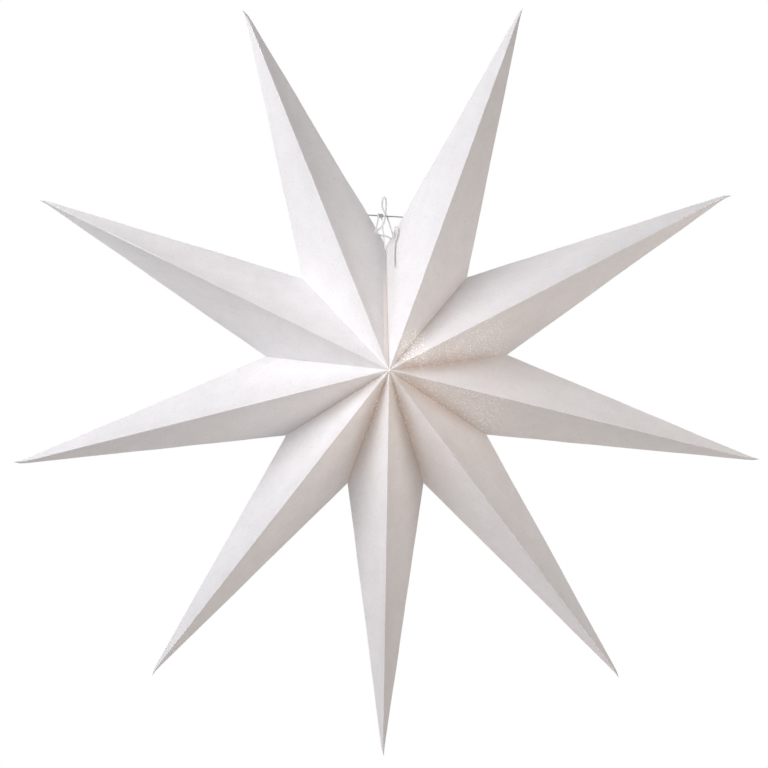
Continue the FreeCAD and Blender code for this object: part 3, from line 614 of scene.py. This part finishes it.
# The stirrup: the same wire, wrapped round the hanger wire, which carries the lampholder by two
# holes in its cap. Its legs wear a thin white plastic sleeve from below the wraps.
SLEEVE_TOP = -0.0215
SLEEVE_EDGE = 0.0008
BARE_STEEL = (0.5, 0.5, 0.495, 1)
SCUFFED_SLEEVE = (0.92, 0.915, 0.905, 1)
CLEAN_SLEEVE = (0.97, 0.965, 0.96, 1)
SLEEVE_GLOW = (0.1, 0.098, 0.095, 1)

stirrup, stirrup_shader, stirrup_material = finish_of("sleeved_wire", BARE_STEEL[:3], 0.45,
                                                      Emission_Strength=1.0)
stirrup_place = stirrup.node("ShaderNodeTexCoord", output="Object")
scuffs = stirrup_place.noise(700.0, 3.0)
bare = stirrup_place.parts().other("Z").over(SLEEVE_TOP, SLEEVE_TOP + SLEEVE_EDGE)
sleeve_tone = stirrup.blend(scuffs.over(0.35, 0.65), SCUFFED_SLEEVE, CLEAN_SLEEVE)
feed(stirrup_shader,
     Base_Color=stirrup.blend(bare, sleeve_tone, BARE_STEEL),
     Metallic=bare * 0.8,
     Emission_Color=stirrup.blend(bare, SLEEVE_GLOW, BLACK),
     Roughness=scuffs * 0.3 + 0.3,
     Normal=scuffs.bump(0.2, 0.0001))
# The sleeve's small glow stands for light that passes through it, and lights nothing else.
stirrup_material.cycles.emission_sampling = "NONE"
dressed(stirrup_material, "lampholder_bail")

# The lampholder: a sleeve and a cap of moulded white plastic, which hold a glazed ceramic contact
# block with its brass shell and centre contact, two steel terminal screws, and a nylon screw that
# grips the cord in the neck of the cap.
BROAD_GRAIN = 9


def grained(name, colour, dark, roughness, scale, depth, **sockets):
    """A material whose colour, gloss and surface vary a little with a fine and a broad grain."""
    tree, shader, material = finish_of(name, colour, roughness, **sockets)
    place = tree.node("ShaderNodeTexCoord", output="Object")
    fine = place.noise(scale, 4.0)
    broad = place.noise(scale / BROAD_GRAIN, 2.0)
    feed(shader,
         Base_Color=tree.blend((fine * 0.4 + broad * 0.6).over(0.3, 0.7), (*dark, 1), (*colour, 1)),
         Roughness=(broad - 0.5) * 0.25 + roughness,
         Normal=fine.bump(0.3, depth))
    return material


plastic = grained("moulded_plastic", (0.83, 0.825, 0.8), (0.76, 0.75, 0.72), 0.38, 1800.0, 0.00006)
ceramic = grained("glazed_ceramic", (0.78, 0.76, 0.7), (0.68, 0.655, 0.59), 0.22, 700.0, 0.00012,
                  Coat_Weight=0.6)
brass = grained("stamped_brass", (0.78, 0.57, 0.26), (0.6, 0.42, 0.18), 0.26, 1400.0, 0.00005,
                Metallic=1.0)
steel = grained("plated_steel", (0.6, 0.6, 0.6), (0.42, 0.42, 0.42), 0.32, 1200.0, 0.00006,
                Metallic=1.0)
nylon = grained("nylon", (0.74, 0.74, 0.7), (0.66, 0.66, 0.61), 0.5, 1300.0, 0.00006)
dressed(plastic, "holder_sleeve", "holder_cap")
dressed(ceramic, "contact_block")
dressed(brass, "centre_contact")
dressed(steel, "terminal_screws")
dressed(nylon, "grip_screw")

# The two screw threads: the holder's brass shell and the bulb's nickel cap are thin metal rolled
# into the round thread of a small lamp cap, so the bulb screws in by about five turns. The cap ends
# in black glass and a drop of solder.
THREAD_PITCH = 0.00282
THREAD_DEPTH = 0.00045
SHELL_WALL = 0.0003
TURN_STEPS = 48
ROWS_PER_PITCH = 10
LEAD_IN = 0.002
SHARP_RIM = math.radians(60)


def turned_mesh(name, rings, closed, foot=None):
    """A skin over rings of points; a closed one joins its last ring to its first, and one with a
    foot closes its first ring over that point."""
    count = len(rings[0])
    points = [place for ring in rings for place in ring]
    faces = []
    for index in range(len(rings) if closed else len(rings) - 1):
        following = (index + 1) % len(rings)
        for step in range(count):
            ahead = (step + 1) % count
            faces.append((index * count + step, index * count + ahead,
                          following * count + ahead, following * count + step))
    if foot is not None:
        faces += [(len(points), (step + 1) % count, step) for step in range(count)]
        points.append(foot)
    mesh = bpy.data.meshes.new(name)
    mesh.from_pydata(points, [], faces)
    return mesh


def rolled_shell(name, node, material):
    """A tube of thin metal with a rolled thread, as long and wide as its node."""
    low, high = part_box(node)
    rows = round((high[2] - low[2]) / THREAD_PITCH * ROWS_PER_PITCH)
    rings = []
    for inner in (False, True):
        for row in range(rows, -1, -1) if inner else range(rows + 1):
            height = low[2] + (high[2] - low[2]) * row / rows
            fade = min((height - low[2]) / LEAD_IN, (high[2] - height) / LEAD_IN, 1.0)
            ring = []
            for step in range(TURN_STEPS):
                turn = math.tau * step / TURN_STEPS
                groove = 0.5 + 0.5 * math.cos(math.tau * height / THREAD_PITCH - turn)
                radius = high[0] - THREAD_DEPTH * groove * fade - (SHELL_WALL if inner else 0)
                ring.append((radius * math.cos(turn), radius * math.sin(turn), height))
            rings.append(ring)
    mesh = turned_mesh(name, rings, closed=True)
    mesh.materials.append(material)
    return smoothed(mesh, SHARP_RIM)


nickel = grained("nickel_plate", (0.66, 0.64, 0.6), (0.5, 0.48, 0.45), 0.25, 1500.0, 0.00005,
                 Metallic=1.0)
vitrite = grained("black_glass", (0.03, 0.03, 0.035), (0.012, 0.012, 0.015), 0.18, 600.0, 0.00008)
solder = grained("solder", (0.55, 0.55, 0.56), (0.38, 0.38, 0.4), 0.36, 800.0, 0.0002, Metallic=1.0)
placed("bulb_cap_thread", rolled_shell("cap_thread", "bulb_screw_cap", nickel), "bulb", "cap_metal",
       "bulb_screw_cap")
placed("holder_shell_thread", rolled_shell("shell_thread", "threaded_shell", brass), "root", "brass",
       "threaded_shell")
dressed(vitrite, "bulb_insulator")
dressed(solder, "bulb_contact")

# The bulb: a blown glass globe with a drawn-in neck, a pressed glass stem, and four light sticks
# with a yellow coating, which stand between two crosses of nickel wire. It is lit, and its light
# reaches the flaps beside the open seam.
GLASS_WALL = 0.0008
SHOULDER_TURN = math.radians(135)
SHOULDER_SLANT = 0.0049
NECK_START = 0.0071
NECK_END = 0.0116
BALL_STEPS = 40
SHOULDER_STEPS = 14
CHIP_PITCH = 0.0012
CHIP_LIGHT = (1.0, 0.42, 0.12, 1)
COATING_LIGHT = (1.0, 0.66, 0.32, 1)
BULB_POWER = 0.25
BULB_LIGHT_RADIUS = 0.012
BULB_COLOUR = (1.0, 0.6, 0.3)


def blown_glass(name, colour, roughness, index, edge, body):
    """Clear glass that shows most where it is seen edge on: its material."""
    tree, shader, material = finish_of(name, colour, roughness, IOR=index)
    facing = tree.node("ShaderNodeLayerWeight", None, {"Blend": edge}, "Facing")
    feed(shader, Alpha=facing * 0.5 + body)
    return material


glass_material = blown_glass("bulb_glass", (0.97, 0.95, 0.92), 0.03, 1.46, 0.35, 0.1)
stem_material = blown_glass("stem_glass", (0.86, 0.88, 0.86), 0.1, 1.5, 0.4, 0.3)
stick, stick_shader, stick_material = finish_of("light_stick", (0.95, 0.72, 0.2), 0.45,
                                                Emission_Strength=6.0)
stick_height = stick.node("ShaderNodeTexCoord", output="Object").parts().other("Z")
chips = stick.sum("FRACT", stick_height / CHIP_PITCH).over(0.3, 0.5)
feed(stick_shader, Emission_Color=stick.blend(chips, CHIP_LIGHT, COATING_LIGHT))
dressed(stem_material, "bulb_stem")
dressed(stick_material, "bulb_filaments")
dressed(nickel, "filament_support")

globe_low, globe_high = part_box("bulb_globe")
ball = globe_high[0]
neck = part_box("bulb_screw_cap")[1][0]
# The globe's outline, as radius and height from its foot: most of a ball, and a shoulder that draws
# in to the neck on one cubic curve.
outline = [(ball * math.sin(turn), ball * (1 - math.cos(turn)))
           for turn in (SHOULDER_TURN * (step + 0.5) / BALL_STEPS for step in range(BALL_STEPS))]
side, rise = ball * math.sin(SHOULDER_TURN), ball * (1 - math.cos(SHOULDER_TURN))
shoulder = [(side, rise), (side - SHOULDER_SLANT, rise + SHOULDER_SLANT),
            (neck, rise + NECK_START), (neck, rise + NECK_END)]
for step in range(SHOULDER_STEPS + 1):
    share = step / SHOULDER_STEPS
    weights = ((1 - share) ** 3, 3 * share * (1 - share) ** 2, 3 * share ** 2 * (1 - share), share ** 3)
    outline.append(tuple(sum(weight * point[axis] for weight, point in zip(weights, shoulder))
                         for axis in (0, 1)))
outline.append((neck, globe_high[2] - globe_low[2]))
turns = [math.tau * step / TURN_STEPS for step in range(TURN_STEPS)]
rings = [[(radius * math.cos(turn), radius * math.sin(turn), globe_low[2] + height) for turn in turns]
         for radius, height in outline]
globe_mesh = turned_mesh("globe", rings, closed=False, foot=(0, 0, globe_low[2]))
globe_mesh.materials.append(glass_material)
globe = placed("bulb_glass_globe", smoothed(globe_mesh), "bulb", "bulb_glass", "bulb_globe")
walled = globe.modifiers.new("wall", "SOLIDIFY")
walled.thickness = GLASS_WALL
walled.offset = -1

bulb_light = bpy.data.lights.new("bulb_light", "POINT")
bulb_light.energy = BULB_POWER
bulb_light.color = BULB_COLOUR
bulb_light.shadow_soft_size = BULB_LIGHT_RADIUS
bulb_glow = bpy.data.objects.new("bulb_light", bulb_light)
bulb_glow.location = (0, 0, globe_low[2] + ball)
bpy.context.scene.collection.objects.link(bulb_glow)

# The strings. Thin cotton string, twisted of three plies, ties the star's open seam: the hanging
# string comes out of the left hole, crosses in front of the wire, makes the hanging loop and goes
# into the right hole, and the tie string hooks over the wire, turns over once and hangs frayed.
STRING_DIAMETER = 0.0016
STRING_PLIES = 3
PLY_RADIUS = 0.00056
TWIST_LENGTH = 0.0042
STRING_STEP = 0.0004
PLY_SIDES = 9
# The routes are in millimetres across, in depth and up, with heights from the wire.
HANGING_ROUTE = [(-12.2, 0.6, -16.9), (-12.2, -5.6, -16.9), (-9.0, -7.6, -14.2), (-4.6, -5.8, -11.0),
                 (-1.6, -3.2, -6.0), (-0.8, -1.9, 0.6), (0.5, -0.9, 9.2), (-0.5, 0.0, 17.6),
                 (-2.6, 0.2, 17.6), (-4.0, 0.8, 10.4), (-1.8, 2.0, 4.4), (0.9, 2.2, 0.2),
                 (3.2, 1.0, -6.8), (5.0, -4.2, -13.6), (6.6, -8.8, -19.2), (9.6, -10.8, -21.4),
                 (9.6, 0.4, -21.4)]
TIE_ROUTE = [(-7.0, 2.2, -3.2), (-7.0, 2.0, 2.3), (-7.1, -2.0, 2.3), (-7.5, -4.2, -4.4),
             (-8.9, -9.4, -11.6), (-9.2, -10.8, -16.3), (-3.4, -9.6, -18.6), (1.4, -9.2, -18.8),
             (4.4, -9.6, -21.6), (7.1, -10.0, -20.4), (7.8, -6.6, -10.2), (10.4, -6.4, -10.2),
             (10.2, -10.0, -17.8), (7.8, -13.0, -25.8), (7.0, -20.6, -36.2), (7.2, -29.6, -46.4)]
HANGING_LENGTH = 0.1008
TIE_LENGTH = 0.0985
WIRE_LEVEL = -0.0177
COTTON = (0.9, 0.89, 0.885)
GREY_COTTON = (0.82, 0.81, 0.805, 1)
CLEAN_COTTON = (0.95, 0.94, 0.935, 1)

cotton, cotton_shader, cotton_material = finish_of(
    "cotton_string", COTTON, 0.85, Subsurface_Weight=0.5, Subsurface_Scale=0.0015,
    Subsurface_Radius=(1.0, 1.0, 1.0), Emission_Color=(1.0, 0.98, 0.97, 1), Emission_Strength=0.035)
# The cotton's small glow stands for light that passes through it, and lights nothing else.
cotton_material.cycles.emission_sampling = "NONE"
string_place = cotton.node("ShaderNodeTexCoord", output="Object")
fibre = string_place.noise(2600.0, 3.0, 0.65)
grime = string_place.noise(160.0, 2.0)
feed(cotton_shader,
     Base_Color=cotton.blend((fibre * 0.5 + grime * 0.5).over(0.3, 0.7), GREY_COTTON, CLEAN_COTTON),
     Normal=fibre.bump(0.5, 0.0002))


def string_tree():
    """Geometry Nodes that twist a string of plies round a curve."""
    tree = bpy.data.node_groups.new("twisted_string", "GeometryNodeTree")
    face = tree.interface
    face.new_socket("Curve", in_out="INPUT", socket_type="NodeSocketGeometry")
    for name in ("Ply Radius", "Twist Length", "Step"):
        face.new_socket(name, in_out="INPUT", socket_type="NodeSocketFloat")
    face.new_socket("Cotton", in_out="INPUT", socket_type="NodeSocketMaterial")
    face.new_socket("String", in_out="OUTPUT", socket_type="NodeSocketGeometry")
    g = Signal(tree)
    given = g.node("NodeGroupInput")
    ply, twist = given.other("Ply Radius"), given.other("Twist Length")
    line = g.node("GeometryNodeResampleCurve", {"mode": "LENGTH"},
                  {"Curve": given, "Length": given.other("Step")})
    along = g.node("GeometryNodeSplineParameter", output="Length")
    tangent = g.node("GeometryNodeInputTangent")
    normal = g.node("GeometryNodeInputNormal")
    across = g.vector("CROSS_PRODUCT", tangent, normal)
    section = g.node("GeometryNodeCurvePrimitiveCircle", {"mode": "RADIUS"},
                     {"Resolution": PLY_SIDES, "Radius": ply})
    out = ply * (STRING_DIAMETER / 2 / PLY_RADIUS - 1)
    plies = []
    for index in range(STRING_PLIES):
        angle = along / twist * math.tau + index * math.tau / STRING_PLIES
        offset = g.vector("ADD", g.vector("SCALE", normal, Scale=g.sum("COSINE", angle) * out),
                          g.vector("SCALE", across, Scale=g.sum("SINE", angle) * out))
        moved = g.node("GeometryNodeSetPosition", None, {"Geometry": line, "Offset": offset})
        plies.append(g.node("GeometryNodeCurveToMesh", None,
                            {"Curve": moved, "Profile Curve": section, "Fill Caps": True}))
    joined = g.node("GeometryNodeJoinGeometry", None, {"Geometry": plies})
    whole = g.node("GeometryNodeRealizeInstances", None, {"Geometry": joined})
    finished = g.node("GeometryNodeSetMaterial", None,
                      {"Geometry": whole, "Material": given.other("Cotton")})
    g.node("NodeGroupOutput", None, {"String": finished})
    return tree


def in_metres(spot):
    """A point of a route, in metres."""
    across, depth, height = spot
    return Vector((across / 1000, depth / 1000, WIRE_LEVEL + height / 1000))


def spline_of(name, route):
    """A smooth line with the route's points as its control points."""
    curve = bpy.data.curves.new(name, "CURVE")
    curve.dimensions = "3D"
    curve.resolution_u = 12
    spline = curve.splines.new("NURBS")
    spline.points.add(len(route) - 1)
    for point, spot in zip(spline.points, route):
        point.co = (*in_metres(spot), 1)
    spline.order_u = 3
    spline.use_endpoint_u = True
    holder = bpy.data.objects.new(name, curve)
    bpy.context.scene.collection.objects.link(holder)
    return holder


def line_of(holder):
    """The points of a spline's smooth line."""
    bpy.context.view_layer.update()
    evaluated = holder.evaluated_get(bpy.context.evaluated_depsgraph_get())
    mesh = bpy.data.meshes.new_from_object(evaluated)
    points = [tuple(vertex.co) for vertex in mesh.vertices]
    bpy.data.meshes.remove(mesh)
    return points


# The frayed end of the tie string: its plies have opened into a few curled fibres. Each has its
# lean round the string, its spread and its reach.
FRAY_LENGTH = 0.0055
FRAY_RADIUS = 0.00016
FRAY_ROOT = 0.15
FRAY_TAPER = 0.55
FRAY_DEPTH = 0.45
FRAY_HEIGHT = 0.5
FIBRES = [(0.3, 0.75, 0.85), (1.9, 0.3, 1.0), (3.2, 0.5, 0.7), (4.3, 0.85, 0.6), (5.4, 0.45, 0.9)]
tail = in_metres(TIE_ROUTE[-1])
tail_way = (tail - in_metres(TIE_ROUTE[-2])).normalized()
fray_curve = bpy.data.curves.new("string_fray", "CURVE")
fray_curve.dimensions = "3D"
fray_curve.bevel_depth = FRAY_RADIUS
fray_curve.bevel_resolution = 2
fray_curve.use_fill_caps = True
for lean, spread, reach in FIBRES:
    side = Vector((math.cos(lean), FRAY_DEPTH * math.sin(lean), FRAY_HEIGHT * math.sin(lean)))
    hair = fray_curve.splines.new("NURBS")
    hair.points.add(3)
    for index, point in enumerate(hair.points):
        share = index / 3
        curl = tail_way * (share - FRAY_ROOT) + side * spread * share ** 2
        point.co = (*(tail + curl * FRAY_LENGTH * reach), 1)
        point.radius = 1 - FRAY_TAPER * share
    hair.order_u = 3
    hair.use_endpoint_u = True
fray_holder = bpy.data.objects.new("fray_line", fray_curve)
bpy.context.scene.collection.objects.link(fray_holder)
bpy.context.view_layer.update()
fray_mesh = bpy.data.meshes.new_from_object(
    fray_holder.evaluated_get(bpy.context.evaluated_depsgraph_get()))
bpy.data.objects.remove(fray_holder)
fray_mesh.materials.clear()
fray_mesh.materials.append(cotton_material)
string_fray = placed("string_fray", fray_mesh, "root", "string")

twisting = string_tree()
for name, route, length, far_end, lay, extras in (
        ("hanging_string", HANGING_ROUTE, HANGING_LENGTH, "object", "taut", []),
        ("tie_string", TIE_ROUTE, TIE_LENGTH, "bare", "hanging", [string_fray])):
    holder = spline_of(f"{name}_line", route)
    path = line_of(holder)
    mesh = made_by(twisting, holder, {"Ply Radius": PLY_RADIUS, "Twist Length": TWIST_LENGTH,
                                      "Step": STRING_STEP, "Cotton": cotton_material})
    piece = placed(f"cotton_{name}", smoothed(mesh), "root", "string", name)

bpy.context.view_layer.update()
